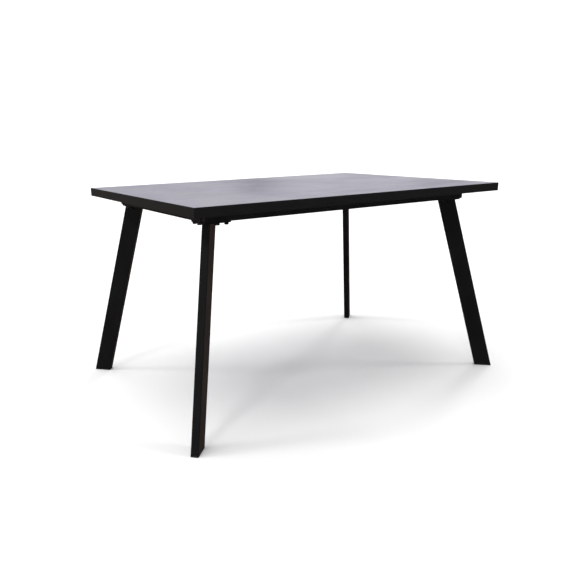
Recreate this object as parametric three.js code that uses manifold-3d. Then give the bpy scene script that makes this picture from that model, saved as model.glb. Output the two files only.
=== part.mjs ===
// Extendable dining table: a top split across its middle, whose halves slide apart on a fixed
// steel frame. Two racks and a pinion make the halves move together, and a folded leaf lies
// between the frame rails. Millimetres, +Z up. The origin is on the floor under the centre of
// the table, +X runs along it to its right end, and -Y is its front long side.

import Module from 'manifold-3d';
import * as THREE from 'three';
import { mergeVertices } from 'three/addons/utils/BufferGeometryUtils.js';

const wasm = await Module();
wasm.setup();

// ---------------------------------------------------------------- driving dimensions

const TABLE_LENGTH = 1300;
const TABLE_WIDTH = 900;
const TABLE_HEIGHT = 750;
const TOP_THICKNESS = 30;
const BAND_THICKNESS = 2;
const SEAM = 0.4;
const GAP = 0.2;                        // between faces that rest on each other
const OVERLAP = 1;                      // joined solids sink this far, and drills pass a face by it

const FRAME_LENGTH = 1132;
const FRAME_WIDTH = 702;
const RAIL_BOTTOM = 689;
const RAIL_TOP = 716;
const RAIL_DEPTH = 21;
const RAIL_WALL = 2;
const WEB_GAP = 1;                      // between a rail's web and what lies in the rail
const RAIL_END_RADIUS = 5;
const RAIL_CAP_TOP = 706.5;             // each end is closed below the slot for the runners
const END_RAIL_WIDTH = 20;
const END_RAIL_CORNER = 1.5;
const END_RAIL_INNER_CORNER = 0.5;
const END_RAIL_HALF = 323;              // the end rails stop short of the moving runners

const PLATE_SIZE = 95;
const PLATE_THICKNESS = 4;
const PLATE_CORNER = 8;
const PLATE_INSET = [1, 5];             // from the frame's end and from its side
const BOLT_HOLE_RADIUS = 4.5;
const BOLT_SHANK_RADIUS = 4;
const BOLT_FLANGE_RADIUS = 8;
const BOLT_FLANGE_HEIGHT = 1.6;
const BOLT_HEAD_RADIUS = 7.5;
const BOLT_HEAD_HEIGHT = 5;
const BOLT_REACH = 699;                 // height of the shank's end inside the rail
const RAIL_BOLT_X = [485, 517];         // the pair under a long rail
const RAIL_BOLT_INSET = 14;
const END_BOLT_Y = [263, 295];          // the pair under an end rail

const TUBE_LONG = 63;
const TUBE_SHORT = 26;
const TUBE_WALL = 2;
const TUBE_CORNER = 3;
const TUBE_INNER_CORNER = 1;
const LEG_TOP = [528.5, 305.5];         // a leg's centre line under its plate
const LEG_FOOT = [669, 436.5];          // and where it meets the floor
const GLIDE_HEIGHT = 4;
const GLIDE_PLUG = 20;
const GLIDE_PLAY = 0.4;

const RUNNER_INNER = 20;                // distance of a runner's near end from the seam
const RUNNER_LENGTH = 520;
const RUNNER_FLANGE_EDGE = 309;         // the flange that is screwed to the top starts here
const RUNNER_NECK = [325, 329];
const RUNNER_TONGUE = [708, 713];
const RUNNER_LIP_BOTTOM = 717;
const RUNNER_LIP_REACH = 348;
const RUNNER_TONGUE_REACH = 347;

const MODULE = 2.5;
const PINION_TEETH = 32;
const PRESSURE_ANGLE = THREE.MathUtils.degToRad(20);
const BACKLASH = 0.2;
const DEDENDUM = 1.25;                  // in modules
const GEAR_Y = -248;
const GEAR_BAND = [706.5, 715.5];
const RACK_BACK = 13;                   // from the pitch line to the back of the bar
const RACK_TAIL = 190;
const RACK_TOOTH_SPAN = [-2, 34];
const RACK_PAD_START = 16;
const HUB_RADIUS = 11;
const HUB_HEIGHT = 11;
const SHAFT_PLAY = 0.3;
const SHOULDER_RADIUS = 5;
const SHOULDER_HEAD_RADIUS = 8;
const SHOULDER_HEAD_HEIGHT = 2.5;
const SHOULDER_HEAD_GAP = 0.5;          // above the pinion
const SHOULDER_TAIL = 6;                // below the bracket
const BRACKET_HALF_LENGTH = 45;
const BRACKET_NOSE_HALF = 18;
const BRACKET_NOSE_REACH = 30;          // past the shaft
const BRACKET_SHOULDER = 20;            // where the nose starts to narrow, short of the shaft

const LEAF_LENGTH = 499;
const LEAF_HALF_WIDTH = 450;
const LEAF_THICKNESS = 20;
const LEAF_FRONT = -180;
const LEAF_BOTTOM = 670;
const LEAF_SPLIT = 1;
const TRAY_X = 170;
const TRAY_WIDTH = 30;
const TRAY_THICKNESS = 3;
const TRAY_CLEARANCE = [6, 12];         // in front of the leaf and behind it, to the bends
const TRAY_BEND = 8;                    // from a rail's flange to the upper bend

const HINGE_X = 150;
const HINGE_HALF_LENGTH = 30;
const HINGE_FLAP = [3.4, 18];           // from the fold to a flap's near and far edges
const HINGE_FLAP_THICKNESS = 1.5;
const HINGE_AXIS = 4.6;                 // from the panels' edge to the pin
const HINGE_KNUCKLE_RADIUS = 3;
const HINGE_KNUCKLE_SPLIT = [10.8, 11.2];
const HINGE_LEAD = [1.6, 4.4];          // the stretch that leads from a flap to its knuckle
const HINGE_BORE_RADIUS = 1.5;
const HINGE_PIN_RADIUS = 1.2;

const DOWEL_RADIUS = 4;
const DOWEL_SPAN = [-16, 19];           // along X, across the seam
const DOWEL_CHAMFER = 1;
const DOWEL_PLAY = 0.3;
const DOWEL_HOLE_DEPTH = 20;
const DOWEL_Y = 160;

const LATCH_X = -22;
const LATCH_Y = 284;
const LATCH_REACH = 40;                 // from the lever's pivot to the keeper's post
const LATCH_OPEN = THREE.MathUtils.degToRad(35);
const LATCH_BAND = [712.8, 716.6];
const LATCH_PLATE_LENGTH = 38;
const KEEPER_PLATE_LENGTH = 30;
const KEEPER_PLATE_SHIFT = 4;
const LATCH_PLATE_WIDTH = 28;
const LATCH_PLATE_CORNER = 4;
const LATCH_PLATE_THICKNESS = 2.6;
const LATCH_POST_RADIUS = 4;
const LATCH_CAP_RADIUS = 6;
const LATCH_CAP_THICKNESS = 1.5;
const LATCH_PLAY = 0.4;
const LEVER_TAIL = 40;
const LEVER_HALF_WIDTH = 5;
const LEVER_SHOULDER = 9;               // half width of the stretch round the pivot
const LEVER_BACK = 11;                  // depth of the hook behind the pivot's line
const LEVER_LIP = 4;
const LEVER_MOUTH_RADIUS = 5;
const LEVER_TIP = 7;                    // from the mouth to the tip
const LEVER_TIP_CORNER = [3, 5];        // rounding at the back of the tip, along and across
const LEVER_TIP_TAPER = 1;
const LEVER_BACK_BEND = [-2, 8];        // where the back's curve turns and ends, from the pivot
const LEVER_BACK_EASE = 1;
const LEVER_WIDE = [-6, 12];            // the wide stretch round the pivot
const LEVER_NECK = -14;                 // where it has narrowed to the tail
const KEEPER_POST_TAIL = 1;             // the keeper's post shows below the lever

const HEXAGON_SIDES = 6;
const PIN_SIDES = 8;
const KNUCKLE_SIDES = 10;
const ROUND_SIDES = 12;
const SHAFT_SIDES = 16;
const HUB_SIDES = 20;
const ARC_STEPS = { coarse: 2, corner: 3, plate: 5, lever: 6, bore: 8 };

// ---------------------------------------------------------------- derived dimensions

const UNDERSIDE = TABLE_HEIGHT - TOP_THICKNESS;
const SEAT = UNDERSIDE - GAP;           // top of everything screwed under the top
const PLATE_TOP = RAIL_BOTTOM - GAP;
const PLATE_BOTTOM = PLATE_TOP - PLATE_THICKNESS;
const LEG_SLOPE = LEG_FOOT.map((foot, axis) => (foot - LEG_TOP[axis]) / PLATE_BOTTOM);
const PLATE_X = FRAME_LENGTH / 2 - PLATE_INSET[0] - PLATE_SIZE / 2;
const PLATE_Y = FRAME_WIDTH / 2 - PLATE_INSET[1] - PLATE_SIZE / 2;
const RAIL_BOLT_Y = FRAME_WIDTH / 2 - RAIL_BOLT_INSET;
const END_BOLT_X = FRAME_LENGTH / 2 - END_RAIL_WIDTH / 2;
const TRAY_SEAT = RAIL_BOTTOM + RAIL_WALL + GAP;
const LEAF_BACK = LEAF_FRONT + LEAF_HALF_WIDTH;
const LEAF_FOLD_Z = LEAF_BOTTOM + LEAF_THICKNESS + LEAF_SPLIT / 2;
const PITCH_RADIUS = MODULE * PINION_TEETH / 2;

const FINISHES = {
  concrete: { color: 0xa5a3aa, roughness: 0.55, metalness: 0 },
  edge: { color: 0x2d2928, roughness: 0.5, metalness: 0 },
  powderCoat: { color: 0x1b1b1d, roughness: 0.55, metalness: 0.3 },
  aluminium: { color: 0xb6b8bc, roughness: 0.4, metalness: 0.9 },
  zinc: { color: 0xa9acb0, roughness: 0.35, metalness: 0.9 },
  blackZinc: { color: 0x2a2a2c, roughness: 0.4, metalness: 0.8 },
  nylon: { color: 0xe6e4dc, roughness: 0.5, metalness: 0 },
  plastic: { color: 0x161616, roughness: 0.6, metalness: 0 },
  beech: { color: 0xc79f6b, roughness: 0.6, metalness: 0 },
};

const SIDES = { left: -1, right: 1 };
const ROWS = { front: -1, back: 1 };
const ALONG_X = new THREE.Matrix4().set(0, 0, 1, 0, 1, 0, 0, 0, 0, 1, 0, 0, 0, 0, 0, 1);
const ALONG_Y = new THREE.Matrix4().set(0, 1, 0, 0, 0, 0, 1, 0, 1, 0, 0, 0, 0, 0, 0, 1);

const table = new THREE.Group();

// ---------------------------------------------------------------- shape helpers

function add(name, geometry, finish) {
  const mesh = new THREE.Mesh(geometry, new THREE.MeshStandardMaterial(FINISHES[finish]));
  mesh.name = name;
  table.add(mesh);
}

// The stretch from near to far on the side of the table that the sign gives.
function span(sign, near, far) {
  return sign > 0 ? [near, far] : [-far, -near];
}

function block([x0, x1], [y0, y1], [z0, z1]) {
  const geometry = new THREE.BoxGeometry(x1 - x0, y1 - y0, z1 - z0);
  return geometry.translate((x0 + x1) / 2, (y0 + y1) / 2, (z0 + z1) / 2);
}

function rod(x, y, [z0, z1], radius, sides) {
  const geometry = new THREE.CylinderGeometry(radius, radius, z1 - z0, sides);
  return geometry.rotateX(Math.PI / 2).translate(x, y, (z0 + z1) / 2);
}

function rodAlongX([x0, x1], y, z, radius, sides) {
  const geometry = new THREE.CylinderGeometry(radius, radius, x1 - x0, sides);
  return geometry.rotateZ(Math.PI / 2).translate((x0 + x1) / 2, y, z);
}

function outline(points) {
  return new THREE.Shape(points.map(([x, y]) => new THREE.Vector2(x, y)));
}

function extrude(shape, depth, curveSegments = 4) {
  return new THREE.ExtrudeGeometry(shape, { depth, bevelEnabled: false, curveSegments });
}

// A plan outline raised from z0 to z1.
function raise(shape, [z0, z1], curveSegments) {
  return extrude(shape, z1 - z0, curveSegments).translate(0, 0, z0);
}

// A (y, z) outline run along X.
function runAlongX(shape, [x0, x1], curveSegments) {
  return extrude(shape, x1 - x0, curveSegments).applyMatrix4(ALONG_X).translate(x0, 0, 0);
}

// A (z, x) outline run along Y.
function runAlongY(shape, [y0, y1], curveSegments) {
  return extrude(shape, y1 - y0, curveSegments).applyMatrix4(ALONG_Y).translate(0, y0, 0);
}

function roundedRectangle(path, width, height, radius) {
  const x = width / 2 - radius;
  const y = height / 2 - radius;
  path.absarc(x, y, radius, 0, Math.PI / 2);
  path.absarc(-x, y, radius, Math.PI / 2, Math.PI);
  path.absarc(-x, -y, radius, Math.PI, Math.PI * 1.5);
  path.absarc(x, -y, radius, Math.PI * 1.5, Math.PI * 2);
  path.closePath();
  return path;
}

function circularHole(shape, x, y, radius) {
  shape.holes.push(new THREE.Path().absarc(x, y, radius, 0, Math.PI * 2));
}

function solid(geometry) {
  geometry.deleteAttribute('normal');
  geometry.deleteAttribute('uv');
  const merged = mergeVertices(geometry);
  const vertProperties = new Float32Array(merged.getAttribute('position').array);
  const triVerts = new Uint32Array(merged.getIndex().array);
  return new wasm.Manifold(new wasm.Mesh({ numProp: 3, vertProperties, triVerts }));
}

function geometryOf(manifold) {
  const { vertProperties, triVerts } = manifold.getMesh();
  const geometry = new THREE.BufferGeometry();
  geometry.setAttribute('position', new THREE.BufferAttribute(vertProperties, 3));
  geometry.setIndex(new THREE.BufferAttribute(triVerts, 1));
  return geometry;
}

function join(...geometries) {
  return geometries.map(solid).reduce((whole, piece) => whole.add(piece));
}

function cut(body, geometries) {
  return geometries.map(solid).reduce((whole, piece) => whole.subtract(piece), body);
}

// ---------------------------------------------------------------- top

// One half of the top: a board with two dowel holes in its seam edge.
function addBoard(side, sign) {
  const outer = TABLE_LENGTH / 2 - BAND_THICKNESS - GAP;
  const halfWidth = TABLE_WIDTH / 2 - BAND_THICKNESS - GAP;
  const board = block(span(sign, SEAM / 2, outer), [-halfWidth, halfWidth], [UNDERSIDE, TABLE_HEIGHT]);
  const holes = Object.values(ROWS).map((row) => rodAlongX(
    span(sign, -SEAM, DOWEL_HOLE_DEPTH),
    row * DOWEL_Y,
    UNDERSIDE + TOP_THICKNESS / 2,
    DOWEL_RADIUS + DOWEL_PLAY,
    ROUND_SIDES,
  ));
  add(`tabletop_${side}`, geometryOf(cut(solid(board), holes)), 'concrete');
}

// The edge band goes round the three outer edges of a half, open at the seam.
function addEdgeBand(side, sign) {
  const end = sign * TABLE_LENGTH / 2;
  const innerEnd = end - sign * BAND_THICKNESS;
  const seam = sign * SEAM / 2;
  const width = TABLE_WIDTH / 2;
  const innerWidth = width - BAND_THICKNESS;
  const shape = outline([
    [seam, -width], [end, -width], [end, width], [seam, width],
    [seam, innerWidth], [innerEnd, innerWidth], [innerEnd, -innerWidth], [seam, -innerWidth],
  ]);
  add(`edge_band_${side}`, raise(shape, [UNDERSIDE, TABLE_HEIGHT]), 'edge');
}

function addDowels() {
  const [from, to] = DOWEL_SPAN;
  const tip = DOWEL_RADIUS - DOWEL_CHAMFER;
  const profile = [
    [0, from], [tip, from], [DOWEL_RADIUS, from + DOWEL_CHAMFER],
    [DOWEL_RADIUS, to - DOWEL_CHAMFER], [tip, to], [0, to],
  ].map(([radius, along]) => new THREE.Vector2(radius, along));
  for (const [row, sign] of Object.entries(ROWS)) {
    const dowel = new THREE.LatheGeometry(profile, ROUND_SIDES).rotateZ(-Math.PI / 2);
    dowel.translate(0, sign * DOWEL_Y, UNDERSIDE + TOP_THICKNESS / 2);
    add(`seam_dowel_${row}`, dowel, 'beech');
  }
}

// ---------------------------------------------------------------- frame

// A long rail is a C section open towards the middle of the table, with its two lower end
// corners rounded, a cap across the lower part of each end, and clearance holes for the leg
// plate bolts in its lower flange.
function addLongRail(row, sign) {
  const out = sign * FRAME_WIDTH / 2;
  const web = out - sign * RAIL_WALL;
  const lip = out - sign * RAIL_DEPTH;
  const section = outline([
    [out, RAIL_BOTTOM], [out, RAIL_TOP], [lip, RAIL_TOP], [lip, RAIL_TOP - RAIL_WALL],
    [web, RAIL_TOP - RAIL_WALL], [web, RAIL_BOTTOM + RAIL_WALL],
    [lip, RAIL_BOTTOM + RAIL_WALL], [lip, RAIL_BOTTOM],
  ]);
  const end = FRAME_LENGTH / 2;
  const across = span(sign, FRAME_WIDTH / 2 - RAIL_DEPTH, FRAME_WIDTH / 2);
  const caps = Object.values(SIDES).map((side) => {
    return block(span(side, end - RAIL_WALL, end), across, [RAIL_BOTTOM, RAIL_CAP_TOP]);
  });
  const rail = join(runAlongX(section, [-end, end]), ...caps);

  const silhouette = new THREE.Shape();
  silhouette.moveTo(RAIL_TOP + OVERLAP, -end);
  silhouette.lineTo(RAIL_TOP + OVERLAP, end);
  silhouette.lineTo(RAIL_BOTTOM + RAIL_END_RADIUS, end);
  silhouette.absarc(RAIL_BOTTOM + RAIL_END_RADIUS, end - RAIL_END_RADIUS, RAIL_END_RADIUS,
    Math.PI / 2, Math.PI);
  silhouette.lineTo(RAIL_BOTTOM, -end + RAIL_END_RADIUS);
  silhouette.absarc(RAIL_BOTTOM + RAIL_END_RADIUS, -end + RAIL_END_RADIUS, RAIL_END_RADIUS,
    Math.PI, Math.PI * 1.5);
  const depth = span(sign, FRAME_WIDTH / 2 - RAIL_DEPTH - OVERLAP, FRAME_WIDTH / 2 + OVERLAP);
  const envelope = runAlongY(silhouette, depth);

  const holes = [];
  for (const side of Object.values(SIDES)) {
    for (const x of RAIL_BOLT_X) {
      const drill = [RAIL_BOTTOM - OVERLAP, RAIL_BOTTOM + RAIL_WALL + OVERLAP];
      holes.push(rod(side * x, sign * RAIL_BOLT_Y, drill, BOLT_HOLE_RADIUS, ROUND_SIDES));
    }
  }
  const shaped = rail.intersect(solid(envelope));
  add(`frame_rail_${row}`, geometryOf(cut(shaped, holes)), 'powderCoat');
}

// An end rail is a rectangular tube between the two long rails, bolted down on the leg plates.
function addEndRail(side, sign) {
  const centreZ = (RAIL_BOTTOM + RAIL_TOP) / 2;
  const height = RAIL_TOP - RAIL_BOTTOM;
  const section = roundedRectangle(new THREE.Shape(), height, END_RAIL_WIDTH, END_RAIL_CORNER);
  const inside = [height - 2 * RAIL_WALL, END_RAIL_WIDTH - 2 * RAIL_WALL];
  section.holes.push(roundedRectangle(new THREE.Path(), ...inside, END_RAIL_INNER_CORNER));
  const tube = runAlongY(section, [-END_RAIL_HALF, END_RAIL_HALF], ARC_STEPS.coarse);
  tube.translate(sign * END_BOLT_X, 0, centreZ);
  const holes = [];
  for (const row of Object.values(ROWS)) {
    for (const y of END_BOLT_Y) {
      const drill = [RAIL_BOTTOM - OVERLAP, RAIL_BOTTOM + RAIL_WALL + OVERLAP];
      holes.push(rod(sign * END_BOLT_X, row * y, drill, BOLT_HOLE_RADIUS, ROUND_SIDES));
    }
  }
  add(`frame_end_rail_${side}`, geometryOf(cut(solid(tube), holes)), 'powderCoat');
}

// ---------------------------------------------------------------- legs

function boltPlaces(sideSign, rowSign) {
  const underLongRail = RAIL_BOLT_X.map((x) => [sideSign * x, rowSign * RAIL_BOLT_Y]);
  const underEndRail = END_BOLT_Y.map((y) => [sideSign * END_BOLT_X, rowSign * y]);
  return [...underLongRail, ...underEndRail];
}

// A square plate with four bolt holes, flat under the corner of the frame.
function legPlate(sideSign, rowSign) {
  const shape = roundedRectangle(new THREE.Shape(), PLATE_SIZE, PLATE_SIZE, PLATE_CORNER);
  for (const [x, y] of boltPlaces(sideSign, rowSign)) {
    circularHole(shape, x - sideSign * PLATE_X, y - rowSign * PLATE_Y, BOLT_HOLE_RADIUS);
  }
  const plate = raise(shape, [PLATE_BOTTOM, PLATE_TOP], ARC_STEPS.plate);
  return plate.translate(sideSign * PLATE_X, rowSign * PLATE_Y, 0);
}

// A hexagon flange bolt with its head below the plate.
function plateBolt(x, y) {
  const flangeTop = PLATE_BOTTOM - GAP;
  const headTop = flangeTop - BOLT_FLANGE_HEIGHT;
  return geometryOf(join(
    rod(x, y, [headTop - OVERLAP, BOLT_REACH], BOLT_SHANK_RADIUS, PIN_SIDES),
    rod(x, y, [headTop, flangeTop], BOLT_FLANGE_RADIUS, ROUND_SIDES),
    rod(x, y, [headTop - BOLT_HEAD_HEIGHT, headTop + OVERLAP], BOLT_HEAD_RADIUS, HEXAGON_SIDES),
  ));
}

// Moves an upright piece drawn about the Z axis onto a leg's line: its long side turns to the
// corner's diagonal, and each level shifts outwards by the lean, so its ends stay horizontal.
function leanOut(geometry, sideSign, rowSign) {
  const shear = new THREE.Matrix4().set(
    1, 0, -sideSign * LEG_SLOPE[0], sideSign * LEG_FOOT[0],
    0, 1, -rowSign * LEG_SLOPE[1], rowSign * LEG_FOOT[1],
    0, 0, 1, 0,
    0, 0, 0, 1,
  );
  return geometry.rotateZ(Math.atan2(rowSign, sideSign)).applyMatrix4(shear);
}

// The long side of the tube's horizontal cut, longer than the tube because of the lean.
function levelCut(size) {
  return size * Math.hypot(1, ...LEG_SLOPE);
}

function legTube(sideSign, rowSign) {
  const section = roundedRectangle(new THREE.Shape(), levelCut(TUBE_LONG), TUBE_SHORT, TUBE_CORNER);
  const inside = [TUBE_LONG - 2 * TUBE_WALL, TUBE_SHORT - 2 * TUBE_WALL];
  const inner = roundedRectangle(new THREE.Path(), levelCut(inside[0]), inside[1], TUBE_INNER_CORNER);
  section.holes.push(inner);
  const tube = raise(section, [GLIDE_HEIGHT + GAP, PLATE_BOTTOM - GAP], ARC_STEPS.corner);
  return leanOut(tube, sideSign, rowSign);
}

// A plastic foot: a pad the size of the tube on the floor, with a plug that fills its end.
function footGlide(sideSign, rowSign) {
  const pad = roundedRectangle(new THREE.Shape(), levelCut(TUBE_LONG), TUBE_SHORT, TUBE_CORNER);
  const plugLong = levelCut(TUBE_LONG - 2 * TUBE_WALL) - 2 * GLIDE_PLAY;
  const plugShort = TUBE_SHORT - 2 * TUBE_WALL - 2 * GLIDE_PLAY;
  const plug = roundedRectangle(new THREE.Shape(), plugLong, plugShort, TUBE_INNER_CORNER);
  const glide = geometryOf(join(
    raise(pad, [0, GLIDE_HEIGHT], ARC_STEPS.corner),
    raise(plug, [GLIDE_HEIGHT / 2, GLIDE_HEIGHT + GLIDE_PLUG], ARC_STEPS.coarse),
  ));
  return leanOut(glide, sideSign, rowSign);
}

function addCorner(row, rowSign, side, sideSign) {
  const corner = `${row}_${side}`;
  add(`leg_${corner}`, legTube(sideSign, rowSign), 'powderCoat');
  add(`leg_plate_${corner}`, legPlate(sideSign, rowSign), 'powderCoat');
  add(`foot_glide_${corner}`, footGlide(sideSign, rowSign), 'plastic');
  boltPlaces(sideSign, rowSign).forEach(([x, y], index) => {
    add(`plate_bolt_${corner}_${index + 1}`, plateBolt(x, y), 'blackZinc');
  });
}

// ---------------------------------------------------------------- slides

// A runner hooks round the upper flange of a long rail: a tongue below it, a lip above it and
// a neck on its inner side. Its inner flange is screwed up into the underside of its half.
function addRunner(side, sideSign, row, rowSign) {
  const [neckIn, neckOut] = RUNNER_NECK.map((y) => rowSign * y);
  const flange = rowSign * RUNNER_FLANGE_EDGE;
  const tongue = rowSign * RUNNER_TONGUE_REACH;
  const lip = rowSign * RUNNER_LIP_REACH;
  const section = outline([
    [flange, RUNNER_LIP_BOTTOM], [neckIn, RUNNER_LIP_BOTTOM], [neckIn, RUNNER_TONGUE[0]],
    [tongue, RUNNER_TONGUE[0]], [tongue, RUNNER_TONGUE[1]], [neckOut, RUNNER_TONGUE[1]],
    [neckOut, RUNNER_LIP_BOTTOM], [lip, RUNNER_LIP_BOTTOM], [lip, SEAT], [flange, SEAT],
  ]);
  const runner = runAlongX(section, span(sideSign, RUNNER_INNER, RUNNER_INNER + RUNNER_LENGTH));
  add(`slide_runner_${side}_${row}`, runner, 'aluminium');
}

// ---------------------------------------------------------------- synchronising gear

// The rack on one side of the pinion, toothed past the seam, with a raised pad on its own half.
function addRack(side, sideSign, rowSign) {
  const pitch = Math.PI * MODULE;
  const pitchLine = GEAR_Y + rowSign * PITCH_RADIUS;
  const tip = pitchLine - rowSign * MODULE;
  const root = pitchLine + rowSign * DEDENDUM * MODULE;
  const back = pitchLine + rowSign * RACK_BACK;
  const halfAtPitch = pitch / 4 - BACKLASH / 2;
  const halfAtTip = halfAtPitch - MODULE * Math.tan(PRESSURE_ANGLE);
  const halfAtRoot = halfAtPitch + DEDENDUM * MODULE * Math.tan(PRESSURE_ANGLE);

  const edge = [[sideSign * RACK_TAIL, root]];
  for (let tooth = RACK_TOOTH_SPAN[0]; tooth <= RACK_TOOTH_SPAN[1]; tooth += 1) {
    const centre = -sideSign * tooth * pitch;
    edge.push(
      [centre + sideSign * halfAtRoot, root], [centre + sideSign * halfAtTip, tip],
      [centre - sideSign * halfAtTip, tip], [centre - sideSign * halfAtRoot, root],
    );
  }
  const farEnd = -sideSign * (RACK_TOOTH_SPAN[1] + 0.5) * pitch;
  edge.push([farEnd, root], [farEnd, back], [sideSign * RACK_TAIL, back]);

  const bar = raise(outline(edge), GEAR_BAND);
  const acrossPad = rowSign > 0 ? [root, back] : [back, root];
  const pad = block(span(sideSign, RACK_PAD_START, RACK_TAIL), acrossPad, [GEAR_BAND[1] - OVERLAP, SEAT]);
  add(`sync_rack_${side}`, geometryOf(join(bar, pad)), 'nylon');
}

function involute(angle) {
  return Math.tan(angle) - angle;
}

// An involute pinion with a space between teeth facing each rack, and a hub below it.
function addPinion() {
  const baseRadius = PITCH_RADIUS * Math.cos(PRESSURE_ANGLE);
  const rootRadius = PITCH_RADIUS - DEDENDUM * MODULE;
  const tipRadius = PITCH_RADIUS + MODULE;
  const halfAtPitch = (Math.PI * MODULE / 4 - BACKLASH / 2) / PITCH_RADIUS;
  const halfAtBase = halfAtPitch + involute(PRESSURE_ANGLE);
  const halfAngle = (radius) => halfAtBase - involute(Math.acos(baseRadius / radius));
  const flank = [
    [rootRadius, halfAngle(baseRadius)],
    ...[baseRadius, PITCH_RADIUS, tipRadius].map((radius) => [radius, halfAngle(radius)]),
  ];
  const points = [];
  for (let tooth = 0; tooth < PINION_TEETH; tooth += 1) {
    const centre = (tooth + 0.5) * 2 * Math.PI / PINION_TEETH;
    const rising = flank.map(([radius, half]) => [radius, centre - half]);
    const falling = flank.map(([radius, half]) => [radius, centre + half]).reverse();
    for (const [radius, angle] of [...rising, ...falling]) {
      points.push([radius * Math.cos(angle), radius * Math.sin(angle)]);
    }
  }
  const wheel = raise(outline(points), GEAR_BAND);
  const hubBottom = GEAR_BAND[0] - HUB_HEIGHT;
  const hub = rod(0, 0, [hubBottom, GEAR_BAND[0] + OVERLAP], HUB_RADIUS, HUB_SIDES);
  const through = [hubBottom - OVERLAP, GEAR_BAND[1] + OVERLAP];
  const bore = rod(0, 0, through, SHOULDER_RADIUS + SHAFT_PLAY, SHAFT_SIDES);
  const pinion = geometryOf(cut(join(wheel, hub), [bore]));
  add('sync_pinion', pinion.translate(0, GEAR_Y, 0), 'nylon');
}

// The pinion turns on a shoulder bolt, which stands on a plate bolted inside the front rail.
function addPinionMount() {
  const foot = -FRAME_WIDTH / 2 + RAIL_WALL + WEB_GAP;
  const shoulder = GEAR_Y - BRACKET_SHOULDER;
  const nose = GEAR_Y + BRACKET_NOSE_REACH;
  const plate = outline([
    [-BRACKET_HALF_LENGTH, foot], [BRACKET_HALF_LENGTH, foot], [BRACKET_HALF_LENGTH, shoulder],
    [BRACKET_NOSE_HALF, nose], [-BRACKET_NOSE_HALF, nose], [-BRACKET_HALF_LENGTH, shoulder],
  ]);
  circularHole(plate, 0, GEAR_Y, SHOULDER_RADIUS + SHAFT_PLAY);
  const thickness = [TRAY_SEAT, TRAY_SEAT + TRAY_THICKNESS];
  add('gear_bracket', raise(plate, thickness, ARC_STEPS.bore), 'zinc');

  const tail = TRAY_SEAT - SHOULDER_TAIL;
  const headBottom = GEAR_BAND[1] + SHOULDER_HEAD_GAP;
  const headTop = headBottom + SHOULDER_HEAD_HEIGHT;
  const profile = [
    [0, tail], [SHOULDER_RADIUS, tail], [SHOULDER_RADIUS, headBottom],
    [SHOULDER_HEAD_RADIUS, headBottom], [SHOULDER_HEAD_RADIUS, headTop], [0, headTop],
  ].map(([radius, z]) => new THREE.Vector2(radius, z));
  const bolt = new THREE.LatheGeometry(profile, SHAFT_SIDES).rotateX(Math.PI / 2);
  add('pinion_shoulder_bolt', bolt.translate(0, GEAR_Y, 0), 'zinc');
}

// ---------------------------------------------------------------- stored leaf

function addLeafPanels() {
  const x = [-LEAF_LENGTH / 2, LEAF_LENGTH / 2];
  const y = [LEAF_FRONT, LEAF_BACK];
  const upper = LEAF_BOTTOM + LEAF_THICKNESS + LEAF_SPLIT;
  add('leaf_panel_lower', block(x, y, [LEAF_BOTTOM, LEAF_BOTTOM + LEAF_THICKNESS]), 'concrete');
  add('leaf_panel_upper', block(x, y, [upper, upper + LEAF_THICKNESS]), 'concrete');
}

// A tray bar is a flat strip whose ends rest on the lower flanges inside the two long rails,
// and whose middle drops to carry the folded leaf.
function addTrayBar(side, sign) {
  const reach = FRAME_WIDTH / 2 - RAIL_WALL - WEB_GAP;
  const mouth = FRAME_WIDTH / 2 - RAIL_DEPTH - TRAY_BEND;
  const high = TRAY_SEAT + TRAY_THICKNESS;
  const low = LEAF_BOTTOM - GAP;
  const topLine = [
    [-reach, high], [-mouth, high], [LEAF_FRONT - TRAY_CLEARANCE[0], low],
    [LEAF_BACK + TRAY_CLEARANCE[1], low], [mouth, high], [reach, high],
  ];
  const bottomLine = topLine.map(([y, z]) => [y, z - TRAY_THICKNESS]).reverse();
  const section = outline([...topLine, ...bottomLine]);
  const x = [sign * TRAY_X - TRAY_WIDTH / 2, sign * TRAY_X + TRAY_WIDTH / 2];
  add(`leaf_tray_bar_${side}`, runAlongX(section, x), 'powderCoat');
}

// A butt hinge on the fold: a flap on the edge of each panel, knuckles that interleave, a pin.
function addLeafHinge(side, sign) {
  const centreX = sign * HINGE_X;
  const length = [centreX - HINGE_HALF_LENGTH, centreX + HINGE_HALF_LENGTH];
  const axisY = LEAF_BACK + HINGE_AXIS;
  const flapY = [LEAF_BACK + GAP, LEAF_BACK + GAP + HINGE_FLAP_THICKNESS];
  const [middle, outer] = HINGE_KNUCKLE_SPLIT;
  const knuckles = {
    lower: [[-HINGE_HALF_LENGTH, -outer], [outer, HINGE_HALF_LENGTH]],
    upper: [[-middle, middle]],
  };
  const direction = { lower: -1, upper: 1 };
  const through = [length[0] - OVERLAP, length[1] + OVERLAP];
  const bore = rodAlongX(through, axisY, LEAF_FOLD_Z, HINGE_BORE_RADIUS, KNUCKLE_SIDES);
  for (const [level, stretches] of Object.entries(knuckles)) {
    const up = direction[level];
    const fromFold = (stretch) => stretch.map((z) => LEAF_FOLD_Z + up * z).sort((a, b) => a - b);
    const pieces = [block(length, flapY, fromFold(HINGE_FLAP))];
    for (const [from, to] of stretches) {
      const x = [centreX + from, centreX + to];
      pieces.push(rodAlongX(x, axisY, LEAF_FOLD_Z, HINGE_KNUCKLE_RADIUS, KNUCKLE_SIDES));
      pieces.push(block(x, [flapY[0], axisY], fromFold(HINGE_LEAD)));
    }
    add(`leaf_hinge_${side}_${level}_flap`, geometryOf(cut(join(...pieces), [bore])), 'zinc');
  }
  const pin = rodAlongX(length, axisY, LEAF_FOLD_Z, HINGE_PIN_RADIUS, PIN_SIDES);
  add(`leaf_hinge_${side}_pin`, pin, 'zinc');
}

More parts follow.
